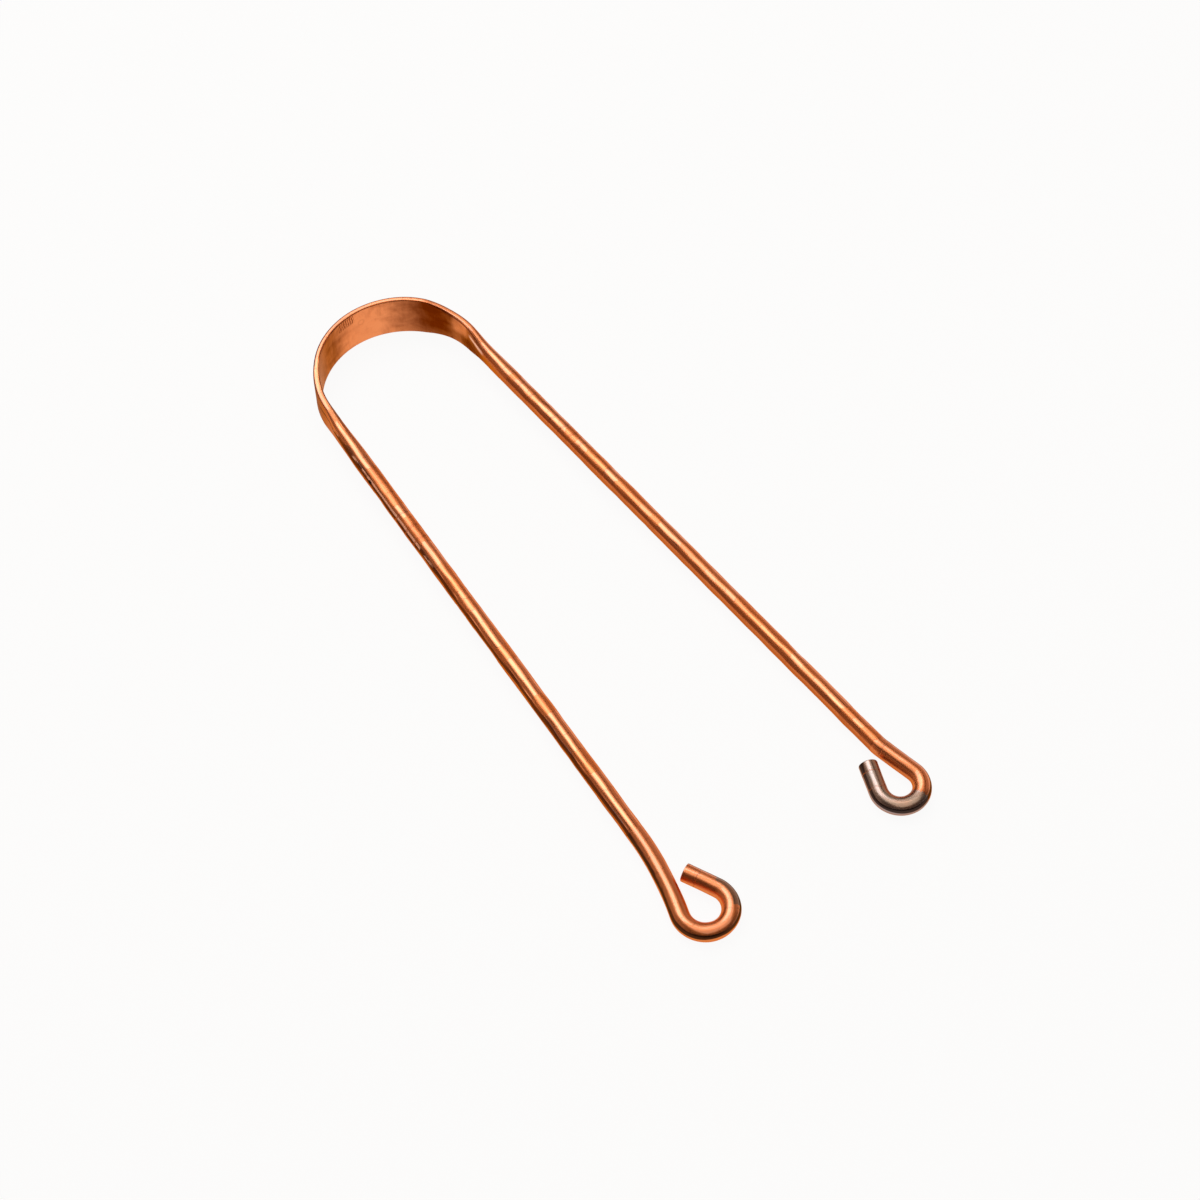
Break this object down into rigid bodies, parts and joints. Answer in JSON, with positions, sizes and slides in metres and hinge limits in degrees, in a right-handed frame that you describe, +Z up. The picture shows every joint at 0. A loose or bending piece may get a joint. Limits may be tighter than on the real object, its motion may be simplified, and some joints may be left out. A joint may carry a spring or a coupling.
{
  "type": "tongue scraper",
  "caption": "U-shaped tongue scraper of copper rod, rolled flat at the bow into a scraping edge, with round spreading arms that end in curled eyes.",
  "frame": {"origin": "on the table under the middle of the part's footprint, with the part lying as it rests", "axes": "+Y along the arms from the eyes to the crown of the bow, +Z up from the table, +X towards the right arm"},
  "size_m": [0.0496, 0.1374, 0.0091],
  "materials": {
    "copper": "polished copper",
    "tarnished_copper": "copper with a grey-brown tarnish round the curl and tail"
  },
  "bodies": {
    "bow": {"band_crown": "copper"},
    "left_side": {"left_band_side": "copper", "left_shoulder": "copper", "left_arm": "copper", "left_eye": "copper"},
    "right_side": {"right_band_side": "copper", "right_shoulder": "copper", "right_arm": "copper", "right_eye": "tarnished_copper"}
  },
  "joints": [
    {"name": "left_flex", "type": "hinge", "parent": "bow", "child": "left_side", "pos_m": [-0.00933, 0.06459, 0.00453], "axis": [0, -0.0223, 0.9998], "range_deg": [-6, 6], "stiffness_Nm_per_rad": 3.7},
    {"name": "right_flex", "type": "hinge", "parent": "bow", "child": "right_side", "pos_m": [0.01034, 0.06459, 0.00453], "axis": [0, 0.0223, -0.9998], "range_deg": [-6, 6], "stiffness_Nm_per_rad": 3.7}
  ]
}
